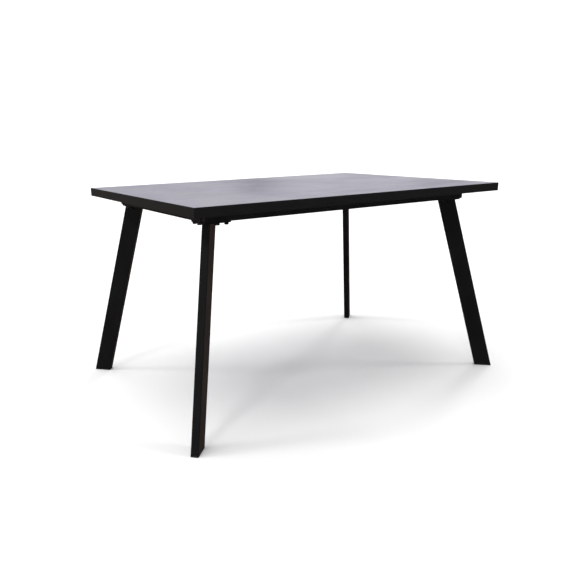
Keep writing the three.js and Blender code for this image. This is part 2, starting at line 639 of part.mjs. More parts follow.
// ---------------------------------------------------------------- seam latch

function latchPlate(length, x) {
  const plate = roundedRectangle(new THREE.Shape(), length, LATCH_PLATE_WIDTH, LATCH_PLATE_CORNER);
  const thickness = [SEAT - LATCH_PLATE_THICKNESS, SEAT];
  return raise(plate, thickness, ARC_STEPS.corner).translate(x, LATCH_Y, 0);
}

// A plate under the left half, with the headed post that the lever turns on.
function addLatchBase() {
  const capTop = LATCH_BAND[0] - LATCH_PLAY;
  const capBottom = capTop - LATCH_CAP_THICKNESS;
  const base = join(
    latchPlate(LATCH_PLATE_LENGTH, LATCH_X),
    rod(LATCH_X, LATCH_Y, [capTop - OVERLAP, SEAT - OVERLAP], LATCH_POST_RADIUS, ROUND_SIDES),
    rod(LATCH_X, LATCH_Y, [capBottom, capTop], LATCH_CAP_RADIUS, ROUND_SIDES),
  );
  add('latch_base', geometryOf(base), 'zinc');
}

// The lever is drawn closed, along X from its pivot, with a mouth that takes the post from
// its back side, and is then turned to the open position in which it rests.
function addLatchLever() {
  const mouth = [LATCH_REACH - LEVER_MOUTH_RADIUS, LATCH_REACH + LEVER_MOUTH_RADIUS];
  const tip = mouth[1] + LEVER_TIP;
  const [roundAlong, roundAcross] = LEVER_TIP_CORNER;
  const eased = -LEVER_BACK + LEVER_BACK_EASE;
  const shape = new THREE.Shape();
  shape.moveTo(-LEVER_TAIL, -LEVER_HALF_WIDTH);
  shape.lineTo(-LEVER_SHOULDER, -LEVER_HALF_WIDTH);
  shape.quadraticCurveTo(LEVER_BACK_BEND[0], eased, LEVER_BACK_BEND[1], -LEVER_BACK);
  shape.lineTo(tip - roundAlong, -LEVER_BACK);
  shape.quadraticCurveTo(tip, eased, tip, -LEVER_BACK + roundAcross);
  shape.lineTo(tip - LEVER_TIP_TAPER, LEVER_LIP);
  shape.lineTo(mouth[1], LEVER_LIP);
  shape.lineTo(mouth[1], 0);
  shape.absarc(LATCH_REACH, 0, LEVER_MOUTH_RADIUS, 0, -Math.PI, true);
  shape.lineTo(mouth[0], LEVER_LIP);
  shape.lineTo(LEVER_WIDE[1], LEVER_SHOULDER);
  shape.lineTo(LEVER_WIDE[0], LEVER_SHOULDER);
  shape.lineTo(LEVER_NECK, LEVER_HALF_WIDTH);
  shape.lineTo(-LEVER_TAIL, LEVER_HALF_WIDTH);
  shape.absarc(-LEVER_TAIL, 0, LEVER_HALF_WIDTH, Math.PI / 2, Math.PI * 1.5);
  circularHole(shape, 0, 0, LATCH_POST_RADIUS + SHAFT_PLAY);
  const lever = raise(shape, LATCH_BAND, ARC_STEPS.lever);
  lever.rotateZ(-LATCH_OPEN).translate(LATCH_X, LATCH_Y, 0);
  add('latch_lever', lever, 'zinc');
}

function addLatchKeeper() {
  const x = LATCH_X + LATCH_REACH;
  const post = [LATCH_BAND[0] - KEEPER_POST_TAIL, SEAT - OVERLAP];
  const keeper = join(
    latchPlate(KEEPER_PLATE_LENGTH, x + KEEPER_PLATE_SHIFT),
    rod(x, LATCH_Y, post, LATCH_POST_RADIUS, ROUND_SIDES),
  );
  add('latch_keeper', geometryOf(keeper), 'zinc');
}

// ---------------------------------------------------------------- assembly

for (const [side, sign] of Object.entries(SIDES)) {
  addBoard(side, sign);
  addEdgeBand(side, sign);
  addEndRail(side, sign);
  addTrayBar(side, sign);
  addLeafHinge(side, sign);
}
for (const [row, rowSign] of Object.entries(ROWS)) {
  addLongRail(row, rowSign);
  for (const [side, sideSign] of Object.entries(SIDES)) {
    addCorner(row, rowSign, side, sideSign);
    addRunner(side, sideSign, row, rowSign);
  }
}
addRack('left', SIDES.left, ROWS.front);
addRack('right', SIDES.right, ROWS.back);
addPinion();
addPinionMount();
addLeafPanels();
addDowels();
addLatchBase();
addLatchLever();
addLatchKeeper();

export default table;
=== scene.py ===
"""Looks of an extendable dining table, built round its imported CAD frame. Metres, +Z up.

The origin is on the floor under the centre of the table, +X runs along it to its right end,
and -Y is its front long side. Left and right are the signs -1 and 1 of X, front and back the
same of Y.
"""

import math
import random

import bmesh
import bpy
from mathutils import Matrix, Vector
from mathutils.geometry import tessellate_polygon


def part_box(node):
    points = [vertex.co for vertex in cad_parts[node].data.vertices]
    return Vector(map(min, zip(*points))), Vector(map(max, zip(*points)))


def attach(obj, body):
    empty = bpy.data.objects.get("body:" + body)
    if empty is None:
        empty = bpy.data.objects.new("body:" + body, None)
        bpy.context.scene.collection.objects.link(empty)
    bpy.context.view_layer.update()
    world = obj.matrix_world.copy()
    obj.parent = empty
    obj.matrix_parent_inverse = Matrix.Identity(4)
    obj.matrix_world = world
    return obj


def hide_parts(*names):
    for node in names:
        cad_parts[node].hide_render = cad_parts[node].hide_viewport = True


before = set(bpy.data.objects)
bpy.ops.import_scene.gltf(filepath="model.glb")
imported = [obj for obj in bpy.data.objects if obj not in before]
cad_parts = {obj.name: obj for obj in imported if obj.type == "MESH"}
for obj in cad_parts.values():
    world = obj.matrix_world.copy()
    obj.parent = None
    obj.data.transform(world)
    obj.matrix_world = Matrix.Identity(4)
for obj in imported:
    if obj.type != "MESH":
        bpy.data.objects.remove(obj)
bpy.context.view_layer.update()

MM = 0.001
SIDES = {"left": -1, "right": 1}
ROWS = {"front": -1, "back": 1}
CORNERS = [(row, side) for row in ROWS for side in SIDES]

# ------------------------------------------------------------------ sizes that the frame lacks

LAMINATE = 0.8 * MM
SEAM_EDGING = 0.5 * MM
BAND_THICKNESS = 2 * MM
BAND_RADIUS = 1.1 * MM
DOWEL_BORE = 4.3 * MM
DOWEL_BORE_DEPTH = 20 * MM

RAIL_WALL = 2 * MM
RAIL_BEND = 3 * MM
RAIL_END_RADIUS = 5 * MM
RAIL_CAP_HEIGHT = 17.5 * MM
TUBE_WALL = 2 * MM
TUBE_LONG = 63 * MM
TUBE_SHORT = 26 * MM
TUBE_CORNER = 3 * MM
PLATE_CORNER = 8 * MM
BOLT_HOLE = 4.5 * MM
BOLT_SHANK = 4 * MM
BOLT_FLANGE = 8 * MM
BOLT_FLATS = 13 * MM
BOLT_FLANGE_HEIGHT = 1.6 * MM
BOLT_FLANGE_EDGE = 0.5 * MM
BOLT_FLANGE_SHOULDER = (7.55 * MM, 1.5 * MM)
BOLT_HEAD_TOP = 6.6 * MM
BOLT_CROWN = 6.1 * MM
BOLT_DISH = [(4.9 * MM, BOLT_HEAD_TOP), (4.5 * MM, BOLT_HEAD_TOP - 0.35 * MM)]
RIVET_NUT = [
    (6.7 * MM, 0), (6.9 * MM, 1.2 * MM), (5.6 * MM, 2.8 * MM),
    (5.5 * MM, 9.5 * MM), (5.0 * MM, 10 * MM),
]
PINION_NUT_CROWN = 6.0 * MM
PINION_NUT_HEIGHT = 4.1 * MM
PINION_NUT_CHAMFER = 0.5 * MM
WELD_RADIUS = 2.2 * MM
WELD_STEP = 1.1 * MM
WELD_OFFSET = 0.7 * MM
WELD_SIDES = 10
WELD_DIP = 0.84

SCREW_SHANK = 1.7 * MM
SCREW_LENGTH = 12 * MM
SHORT_SCREW = 5 * MM
SCREW_TIP = 0.8 * MM
SCREW_TAPER = 1.2 * MM
RECESS_DEPTH = 1.2 * MM
RECESS_MOUTH = (1.75 * MM, 0.42 * MM)
RECESS_FLOOR = (0.8 * MM, 0.3 * MM)
COUNTERSINK_RADIUS = 3.5 * MM
COUNTERSINK_DEPTH = 2.0 * MM
DRILL_DEPTH = 6 * MM
RACK_SCREWS = (35 * MM, 100 * MM, 165 * MM)
FLAT_HEAD = [(SCREW_SHANK, -1.9 * MM), (3.3 * MM, -0.1 * MM), (3.3 * MM, 0)]
PAN_HEAD = [(3.6 * MM, 0), (3.6 * MM, 0.7 * MM), (3.2 * MM, 1.4 * MM), (2.5 * MM, 1.8 * MM)]

# ------------------------------------------------------------------ materials


def srgb(red, green, blue):
    """A display colour of 0 to 255 per channel, as the linear colour that shaders take."""
    def linear(channel):
        return ((channel / 255 + 0.055) / 1.055) ** 2.4 if channel > 10 else channel / 255 / 12.92

    return (linear(red), linear(green), linear(blue), 1)


class Nodes:
    """A node tree in the making. Its methods add nodes and give the socket that they end in."""

    def __init__(self, tree):
        self.tree = tree

    def node(self, kind, inputs=None, output=0, **settings):
        made = self.tree.nodes.new("ShaderNode" + kind)
        for name, value in settings.items():
            setattr(made, name, value)
        for socket, value in (inputs or {}).items():
            self.feed(made.inputs[socket], value)
        return made.outputs[output]

    def feed(self, socket, value):
        if isinstance(value, bpy.types.NodeSocket):
            self.tree.links.new(value, socket)
        else:
            socket.default_value = value

    def between(self, value, low, high, to_low=0.0, to_high=1.0):
        """The value's stretch from low to high, mapped to another one."""
        return self.node("MapRange", {
            "Value": value, "From Min": low, "From Max": high, "To Min": to_low, "To Max": to_high,
        })

    def math(self, operation, a, b=0.0):
        return self.node("Math", {0: a, 1: b}, operation=operation)

    def weigh(self, value, weight, rest):
        """The value times its weight, added to the rest."""
        return self.node("Math", {0: value, 1: weight, 2: rest}, operation="MULTIPLY_ADD")

    def mix(self, factor, a, b):
        return self.node("Mix", {0: factor, 6: a, 7: b}, output=2, data_type="RGBA")


class Look(Nodes):
    """A material made of nodes. Its patterns are laid out in the table's own metres."""

    def __init__(self, name, **sockets):
        self.material = bpy.data.materials.new(name)
        self.material.use_nodes = True
        super().__init__(self.material.node_tree)
        self.shader = self.tree.nodes["Principled BSDF"]
        self.place = self.node("TexCoord").node.outputs["Object"]
        for socket, value in sockets.items():
            self.shader.inputs[socket.replace("_", " ")].default_value = value

    def scaled(self, x, y, z):
        """The place, in x, y and z pattern repeats per metre."""
        return self.node("Mapping", {"Vector": self.place, "Scale": (x, y, z)})

    def noise(self, vector, detail=2.0, roughness=0.5, distortion=0.0):
        return self.node("TexNoise", {
            "Vector": vector, "Scale": 1.0, "Detail": detail,
            "Roughness": roughness, "Distortion": distortion,
        })

    def tones(self, value, *stops):
        """A colour ramp through (position, colour) stops."""
        made = self.node("ValToRGB", {0: value}).node
        ramp = made.color_ramp
        while len(ramp.elements) < len(stops):
            ramp.elements.new(0.5)
        for element, (position, colour) in zip(ramp.elements, stops):
            element.position = position
            element.color = colour
        return made.outputs[0]

    def patch(self, vector, centre, radii, turn):
        """1 at the centre of a soft ellipse, falling to 0 at its edge."""
        ellipse = {"Location": (*centre, 0), "Rotation": (0, 0, turn), "Scale": (*radii, 1)}
        local = self.node("Mapping", {"Vector": vector, **ellipse}, vector_type="TEXTURE")
        flat = self.node("VectorMath", {0: local, 1: (1, 1, 0)}, operation="MULTIPLY")
        distance = self.node("VectorMath", {0: flat}, output=1, operation="LENGTH")
        return self.node(
            "MapRange",
            {"Value": distance, "From Min": 1.0, "From Max": 0.0},
            interpolation_type="SMOOTHSTEP",
        )

    def bump(self, height, depth, under=None):
        inputs = {"Height": height, "Distance": depth, "Strength": 1.0}
        if under is not None:
            inputs["Normal"] = under
        return self.node("Bump", inputs)

    def finish(self, colour, roughness, normal):
        self.feed(self.shader.inputs["Base Color"], colour)
        self.feed(self.shader.inputs["Roughness"], roughness)
        self.feed(self.shader.inputs["Normal"], normal)
        return self.material


def concrete_laminate():
    """A cloudy grey print of trowelled concrete under a matt melamine skin."""
    look = Look("concrete_laminate", Specular_IOR_Level=0.4)
    drift = look.noise(look.scaled(3.0, 3.0, 3.0), detail=3.0)
    wander = drift.node.outputs[1]
    sway = look.node("VectorMath", {0: wander, 1: (0.5, 0.5, 0.5)}, operation="SUBTRACT")
    bent = look.node(
        "VectorMath", {0: sway, 1: (0.22, 0.22, 0.22), 2: look.place}, operation="MULTIPLY_ADD",
    )
    clouds = look.noise(look.scaled(2.1, 3.4, 3.4), detail=6.0, roughness=0.58, distortion=0.7)
    trowel = look.noise(look.scaled(5.0, 15.0, 15.0), detail=5.0, roughness=0.62, distortion=1.2)
    blotches = look.noise(look.scaled(9.0, 12.0, 12.0), detail=4.0, roughness=0.6, distortion=0.8)
    mottle = look.noise(look.scaled(48.0, 64.0, 64.0), detail=4.0, roughness=0.6)
    grain = look.noise(look.scaled(900.0, 900.0, 900.0), detail=2.0)
    shade = look.math("MULTIPLY", clouds, 0.34)
    for value, weight in ((blotches, 0.24), (trowel, 0.18), (mottle, 0.18), (grain, 0.06)):
        shade = look.weigh(value, weight, shade)
    # Soft patches at fixed places on the top: darker at the back middle, left of the middle, at
    # both ends and at the front right, lighter towards the back right and through the middle.
    for centre, radii, turn, weight in (
        ((0.03, 0.32), (0.17, 0.42), -0.50, -0.20),
        ((-0.20, -0.06), (0.15, 0.38), -0.55, -0.13),
        ((0.60, -0.13), (0.12, 0.10), -0.40, -0.12),
        ((0.32, 0.34), (0.44, 0.30), -0.30, 0.14),
        ((0.50, -0.34), (0.46, 0.24), 0.20, -0.15),
        ((0.02, -0.12), (0.17, 0.46), -0.65, 0.07),
        ((-0.66, -0.15), (0.16, 0.40), 0.0, -0.08),
    ):
        patch = look.patch(bent, centre, radii, turn)
        shade = look.weigh(patch, weight, shade)
    print_colour = look.tones(
        shade,
        (0.30, srgb(117, 115, 129)), (0.44, srgb(142, 140, 153)),
        (0.56, srgb(155, 153, 165)), (0.70, srgb(172, 170, 180)),
    )
    warmth = look.between(look.noise(look.scaled(3.3, 5.0, 5.0), detail=3.0), 0.4, 0.65, 0.0, 0.35)
    tinted = look.mix(warmth, print_colour, srgb(158, 156, 160))
    pores = look.node("TexVoronoi", {"Vector": look.place, "Scale": 260.0, "Randomness": 1.0})
    pore_field = look.noise(look.scaled(14.0, 20.0, 20.0), detail=3.0)
    pore_size = look.between(pore_field, 0.5, 0.75, 0.02, 0.16)
    pit = look.math("LESS_THAN", pores, pore_size)
    colour = look.mix(look.math("MULTIPLY", pit, 0.45), tinted, srgb(96, 94, 102))
    rough = look.weigh(clouds, 0.12, 0.42)
    skin = look.bump(look.noise(look.scaled(1400.0, 1400.0, 1400.0), detail=2.0), 0.02 * MM)
    normal = look.bump(look.math("MULTIPLY", pit, -1.0), 0.03 * MM, under=skin)
    return look.finish(colour, rough, normal)


def edging():
    """Near-black plastic edge strip with a faint grain along it."""
    look = Look("edging", Specular_IOR_Level=0.22)
    streaks = look.noise(look.scaled(14.0, 14.0, 700.0), detail=3.0, distortion=0.5)
    flecks = look.noise(look.scaled(420.0, 420.0, 420.0), detail=3.0)
    grain = look.weigh(streaks, 0.6, look.math("MULTIPLY", flecks, 0.4))
    colour = look.tones(
        grain, (0.30, srgb(11, 11, 12)), (0.50, srgb(17, 17, 18)), (0.72, srgb(26, 25, 25)),
    )
    rough = look.between(grain, 0.3, 0.7, 0.42, 0.58)
    return look.finish(colour, rough, look.bump(grain, 0.05 * MM))


def powder_coat():
    """Black powder coat: an even sand texture with painted sparkle on it, a little rougher where it
    pooled.
    """
    look = Look("powder_coat", Specular_IOR_Level=0.18)
    sand = look.node("TexVoronoi", {"Vector": look.place, "Scale": 1500.0}, feature="SMOOTH_F1")
    peel = look.noise(look.scaled(340.0, 340.0, 340.0), detail=2.0)
    pools = look.noise(look.scaled(9.0, 9.0, 5.0), detail=4.0, roughness=0.6)
    colour = look.tones(pools, (0.35, srgb(11, 11, 12)), (0.65, srgb(17, 17, 18)))
    # Lighter dots in the sand are painted sparkle: glints painted into the colour.
    painted_sparkle = look.mix(look.between(sand, 0.0, 0.25, 0.30, 0.0), colour, srgb(46, 46, 48))
    rough = look.between(pools, 0.35, 0.65, 0.50, 0.62)
    grains = look.bump(sand, 0.06 * MM)
    return look.finish(painted_sparkle, rough, look.bump(peel, 0.05 * MM, under=grains))


def zinc(name, clouds, tones, smoothest, roughest):
    """Plated zinc: cloudy, with fine scratches."""
    look = Look(name, Metallic=1.0)
    cloud = look.noise(look.scaled(clouds, clouds, clouds), detail=4.0, roughness=0.6)
    colour = look.tones(cloud, *zip((0.3, 0.55, 0.75), tones))
    rough = look.between(cloud, 0.3, 0.7, smoothest, roughest)
    scratches = look.noise(look.scaled(2600.0, 300.0, 900.0), detail=2.0)
    return look.finish(colour, rough, look.bump(scratches, 0.015 * MM))


def zinc_plating():
    tones = srgb(150, 153, 158), srgb(186, 189, 193), srgb(198, 197, 190)
    return zinc("zinc_plating", 120.0, tones, 0.26, 0.44)


def black_zinc():
    """Black-passivated zinc, as on the leg bolts."""
    tones = srgb(40, 40, 42), srgb(54, 54, 56), srgb(66, 64, 62)
    return zinc("black_zinc", 140.0, tones, 0.34, 0.50)


def extruded_aluminium():
    """Satin aluminium with the die's fine lines along X."""
    look = Look("extruded_aluminium", Metallic=1.0, Anisotropic=0.4)
    lines = look.noise(look.scaled(6.0, 2400.0, 2400.0), detail=3.0)
    bloom = look.noise(look.scaled(10.0, 60.0, 60.0), detail=3.0)
    colour = look.tones(bloom, (0.3, srgb(176, 178, 181)), (0.7, srgb(198, 200, 203)))
    rough = look.between(lines, 0.3, 0.7, 0.30, 0.46)
    return look.finish(colour, rough, look.bump(lines, 0.02 * MM))


def nylon():
    look = Look("nylon", Subsurface_Weight=0.15, Subsurface_Scale=0.003)
    flow = look.noise(look.scaled(40.0, 40.0, 40.0), detail=3.0, distortion=1.0)
    colour = look.tones(flow, (0.3, srgb(214, 210, 198)), (0.7, srgb(232, 229, 219)))
    rough = look.between(flow, 0.3, 0.7, 0.42, 0.55)
    frost = look.noise(look.scaled(1800.0, 1800.0, 1800.0), detail=2.0)
    return look.finish(colour, rough, look.bump(frost, 0.02 * MM))


def moulded_plastic():
    look = Look("moulded_plastic", Specular_IOR_Level=0.35)
    spark = look.node("TexVoronoi", {"Vector": look.place, "Scale": 1100.0})
    scuff = look.noise(look.scaled(70.0, 70.0, 25.0), detail=4.0)
    colour = look.tones(scuff, (0.35, srgb(20, 20, 21)), (0.7, srgb(34, 34, 35)))
    rough = look.between(scuff, 0.3, 0.7, 0.52, 0.66)
    return look.finish(colour, rough, look.bump(spark, 0.05 * MM))


def beech():
    """Beech with its grain along X and short dark rays."""
    look = Look("beech")
    rings = look.node(
        "TexWave",
        {"Vector": look.scaled(9.0, 1.0, 1.0), "Scale": 160.0, "Distortion": 3.0, "Detail": 3.0},
        bands_direction="Z",
    )
    rays = look.noise(look.scaled(500.0, 3200.0, 3200.0), detail=2.0)
    wood = look.tones(rings, (0.1, srgb(190, 146, 100)), (0.9, srgb(214, 176, 130)))
    colour = look.mix(look.between(rays, 0.62, 0.72, 0.0, 0.6), wood, srgb(140, 96, 60))
    return look.finish(colour, look.between(rings, 0.0, 1.0, 0.5, 0.62), look.bump(rays, 0.04 * MM))


def chipboard():
    """Pressed wood chips, seen where the board is bored."""
    look = Look("chipboard")
    spread = look.scaled(300.0, 300.0, 700.0)
    chips = look.node("TexVoronoi", {"Vector": spread, "Scale": 1.0}, output=1)
    pale = look.node("SeparateColor", {0: chips})
    colour = look.tones(
        pale, (0.0, srgb(128, 96, 62)), (0.5, srgb(176, 142, 100)), (1.0, srgb(206, 178, 138)),
    )
    return look.finish(colour, look.between(pale, 0.0, 1.0, 0.75, 0.9), look.bump(pale, 0.3 * MM))


LOOKS = {
    "concrete_laminate": concrete_laminate(),
    "edge_band": edging(),
    "black_powder_coat": powder_coat(),
    "zinc_plate": zinc_plating(),
    "black_zinc": black_zinc(),
    "aluminium_slide": extruded_aluminium(),
    "nylon_gear": nylon(),
    "black_plastic": moulded_plastic(),
    "beech": beech(),
    "chipboard": chipboard(),
}

# ------------------------------------------------------------------ outlines


def rectangle(x0, x1, y0, y1):
    return [(x0, y0), (x1, y0), (x1, y1), (x0, y1)]


def circle(x, y, radius, sides=32):
    turns = [2 * math.pi * i / sides for i in range(sides)]
    return [(x + radius * math.cos(t), y + radius * math.sin(t)) for t in turns]


def hole(outline):
    """The same outline the other way round, which is how a plate takes its holes."""
    return outline[::-1]


def rounded(outline, radii, steps=4):
    """The outline with arcs at its corners, of one radius or of one for each corner."""
    if not isinstance(radii, (list, tuple)):
        radii = [radii] * len(outline)
    made = []
    for i, radius in enumerate(radii):
        corner = Vector(outline[i])
        back = (Vector(outline[i - 1]) - corner).normalized()
        ahead = (Vector(outline[(i + 1) % len(outline)]) - corner).normalized()
        if radius <= 0:
            made.append(tuple(corner))
            continue
        half = back.angle(ahead) / 2
        centre = corner + (back + ahead).normalized() * radius / math.sin(half)
        start = corner + back * radius / math.tan(half) - centre
        turn = (math.pi - 2 * half) * (1 if back.x * ahead.y - back.y * ahead.x < 0 else -1)
        for step in range(steps + 1):
            made.append(tuple(centre + Matrix.Rotation(turn * step / steps, 2) @ start))
    return made


def inset(outline, amount):
    """Every edge of an anticlockwise outline moved inwards by the amount."""
    made = []
    for i, point in enumerate(outline):
        corner = Vector(point)
        before = (corner - Vector(outline[i - 1])).normalized()
        after = (Vector(outline[(i + 1) % len(outline)]) - corner).normalized()
        first, second = Vector((-before.y, before.x)), Vector((-after.y, after.x))
        made.append(tuple(corner + (first + second) * amount / (1 + first.dot(second))))
    return made


# ------------------------------------------------------------------ meshes

EASE_STEPS = 3
UPRIGHT = Matrix.Identity(4)
ALONG_X = Matrix(((0, 0, 1, 0), (1, 0, 0, 0), (0, 1, 0, 0), (0, 0, 0, 1)))
ALONG_Y = Matrix(((1, 0, 0, 0), (0, 0, 1, 0), (0, 1, 0, 0), (0, 0, 0, 1)))


class Shape:
    """A mesh in the making: loops of points, walls between loops and flat caps."""

    def __init__(self):
        self.points = []
        self.faces = []

    def loop(self, points):
        start = len(self.points)
        self.points.extend(Vector(point) for point in points)
        return list(range(start, len(self.points)))

    def wall(self, a, b):
        for i in range(len(a)):
            self.faces.append((a[i - 1], a[i], b[i], b[i - 1]))

    def cap(self, *loops):
        order = [i for loop in loops for i in loop]
        rings = [[self.points[i] for i in loop] for loop in loops]
        for triangle in tessellate_polygon(rings):
            self.faces.append(tuple(order[i] for i in triangle))

    def tube(self, rings):
        """Walls through a row of loops, with a cap at each end."""
        for lower, upper in zip(rings, rings[1:]):
            self.wall(lower, upper)
        self.cap(rings[0])
        self.cap(rings[-1])

    def slab(self, outlines, low, high, ease=0.0, place=UPRIGHT):
        """A plate between two levels, with its edges rounded by ease.

        The first outline goes round it, the others round its holes. The ease has to stay well
        under half of the narrowest strip between them, or the cap spreads over the hole.
        """
        arc = [math.pi / 2 * i / EASE_STEPS for i in range(EASE_STEPS + 1)] if ease else [0]
        rise = [(ease * (1 - math.sin(a)), ease * (1 - math.cos(a))) for a in arc]
        levels = [(amount, low + up) for amount, up in rise]
        levels += [(amount, high - up) for amount, up in reversed(rise)]
        ends = [], []
        for outline in outlines:
            rings = []
            for amount, level in levels:
                flat = inset(outline, amount) if amount else outline
                rings.append(self.loop(place @ Vector((x, y, level)) for x, y in flat))
            for lower, upper in zip(rings, rings[1:]):
                self.wall(lower, upper)
            ends[0].append(rings[0])
            ends[1].append(rings[-1])
        for loops in ends:
            self.cap(*loops)
        return self

    def turned(self, profile, place=UPRIGHT, sides=32, radius=lambda r, angle: r):
        """A round piece: a profile of (radius, height) turned about the local Z axis."""
        angles = [2 * math.pi * i / sides for i in range(sides)]
        rings = []
        for r, height in profile:
            spokes = [(radius(r, a), a) for a in angles]
            rings.append(self.loop(
                place @ Vector((size * math.cos(a), size * math.sin(a), height))
                for size, a in spokes
            ))
        self.tube(rings)
        return self


def at(x, y, z, up=(0, 0, 1), turn=0.0):
    """A placement that puts a local origin at a point, with the local Z axis along up."""
    facing = Vector(up).to_track_quat("Z", "Y").to_matrix().to_4x4()
    return Matrix.Translation((x, y, z)) @ facing @ Matrix.Rotation(turn, 4, "Z")


def soften_normals(shown):
    """Smooth shading on rounded edges that leaves the flat faces flat."""
    shown.data.shade_smooth()
    shown.data.set_sharp_from_angle(angle=math.radians(50))
    weighted = shown.modifiers.new("weighted normals", "WEIGHTED_NORMAL")
    weighted.keep_sharp = True
    weighted.weight = 90


def piece(name, shape, slot, body, replaces=(), look=None):
    """Makes a shape into a shown piece that rides on a body and stands for CAD nodes."""
    mesh = bpy.data.meshes.new(name)
    mesh.from_pydata(shape.points, [], shape.faces)
    welded = bmesh.new()
    welded.from_mesh(mesh)
    bmesh.ops.recalc_face_normals(welded, faces=welded.faces)
    welded.to_mesh(mesh)
    welded.free()
    mesh.materials.append(LOOKS[look or slot])
    made = bpy.data.objects.new(name, mesh)
    bpy.context.scene.collection.objects.link(made)
    soften_normals(made)
    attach(made, body)
    if replaces:
        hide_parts(*replaces)
    return made


def keep(node, slot, ease):
    """Shows a CAD node with a finish of its own and rounded edges."""
    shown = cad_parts[node]
    shown.data.materials.clear()
    shown.data.materials.append(LOOKS[slot])
    shown.modifiers.new("joined", "WELD").merge_threshold = 0.001 * MM
    faces = shown.modifiers.new("whole faces", "DECIMATE")
    faces.decimate_type = "DISSOLVE"
    faces.angle_limit = math.radians(1)
    edges = shown.modifiers.new("eased edges", "BEVEL")
    edges.width = ease
    edges.segments = 2
    edges.limit_method = "ANGLE"
    edges.angle_limit = math.radians(38)
    soften_normals(shown)


def drill(made, heads):
    """Cuts countersunk screw holes into a finished piece, at placements whose Z points out."""
    profile = [
        (SCREW_SHANK, -DRILL_DEPTH), (SCREW_SHANK, -COUNTERSINK_DEPTH),
        (COUNTERSINK_RADIUS, 0), (COUNTERSINK_RADIUS, 1 * MM),
    ]
    cutter_shape = Shape()
    for head in heads:
        cutter_shape.turned(profile, head)
    cutter = piece("cutter", cutter_shape, "zinc_plate", "base")
    cut = made.modifiers.new("holes", "BOOLEAN")
    cut.object = cutter
    cut.solver = "EXACT"
    made.modifiers.remove(made.modifiers["weighted normals"])
    drilled = made.evaluated_get(bpy.context.evaluated_depsgraph_get())
    result = bpy.data.meshes.new_from_object(drilled)
    made.modifiers.clear()
    made.data = result
    bpy.data.objects.remove(cutter)
    soften_normals(made)


# ------------------------------------------------------------------ fasteners

draw = random.Random(11)


def plus(arm, half):
    """The outline of a cross recess."""
    quarter = [(arm, -half), (arm, half), (half, half)]
    turns = [Matrix.Rotation(math.pi / 2 * i, 2) for i in range(4)]
    return [tuple(turn @ Vector(point)) for turn in turns for point in quarter]


def add_screw(shape, head, place, length=SCREW_LENGTH):
    """A screw with a cross recess in its head, whose top faces the local Z axis."""
    place = place @ Matrix.Rotation(draw.uniform(0, math.pi / 2), 4, "Z")
    shank = [(SCREW_TIP, -length), (SCREW_SHANK, -length + SCREW_TAPER), (SCREW_SHANK, head[0][1])]
    rings = []
    for radius, height in shank + head:
        round_it = circle(0, 0, radius, 24)
        rings.append(shape.loop(place @ Vector((x, y, height)) for x, y in round_it))
    for lower, upper in zip(rings, rings[1:]):
        shape.wall(lower, upper)
    shape.cap(rings[0])
    top = head[-1][1]
    bottom = top - RECESS_DEPTH
    mouth = shape.loop(place @ Vector((x, y, top)) for x, y in hole(plus(*RECESS_MOUTH)))
    floor = shape.loop(place @ Vector((x, y, bottom)) for x, y in hole(plus(*RECESS_FLOOR)))
    shape.cap(rings[-1], mouth)
    shape.wall(mouth, floor)
    shape.cap(floor)


HEXAGON_SIDES = 48
HEXAGON_ANGLES = [2 * math.pi * i / HEXAGON_SIDES for i in range(HEXAGON_SIDES)]


def hexagon_radius(angle):
    """How far the side of a bolt's or nut's hexagon is from its centre, at an angle."""
    to_flat = (angle + math.pi / 6) % (math.pi / 3) - math.pi / 6
    return BOLT_FLATS / 2 / math.cos(to_flat)


HEXAGON = [hexagon_radius(a) for a in HEXAGON_ANGLES]


def add_hexagonal(shape, rings, place):
    """A bolt head or nut. Each ring has a radius and a height, or a list of either."""
    def spread(size):
        return size if isinstance(size, list) else [size] * HEXAGON_SIDES

    loops = []
    for radii, heights in rings:
        spokes = zip(spread(radii), HEXAGON_ANGLES, spread(heights))
        loops.append(shape.loop(
            place @ Vector((r * math.cos(a), r * math.sin(a), h)) for r, a, h in spokes
        ))
    shape.tube(loops)


def add_flange_bolt(shape, place, shank_top):
    """A hexagon flange bolt. The place is its flange's seat, with Z towards its head."""
    slope = math.tan(math.radians(30))
    chamfer = [BOLT_HEAD_TOP - (r - BOLT_CROWN) * slope for r in HEXAGON]
    rings = [
        (BOLT_SHANK, -shank_top), (BOLT_SHANK, 0),
        (BOLT_FLANGE, 0), (BOLT_FLANGE, BOLT_FLANGE_EDGE), BOLT_FLANGE_SHOULDER,
        (HEXAGON, BOLT_FLANGE_HEIGHT), (HEXAGON, chamfer), (BOLT_CROWN, BOLT_HEAD_TOP), *BOLT_DISH,
    ]
    add_hexagonal(shape, rings, place)


# ------------------------------------------------------------------ top


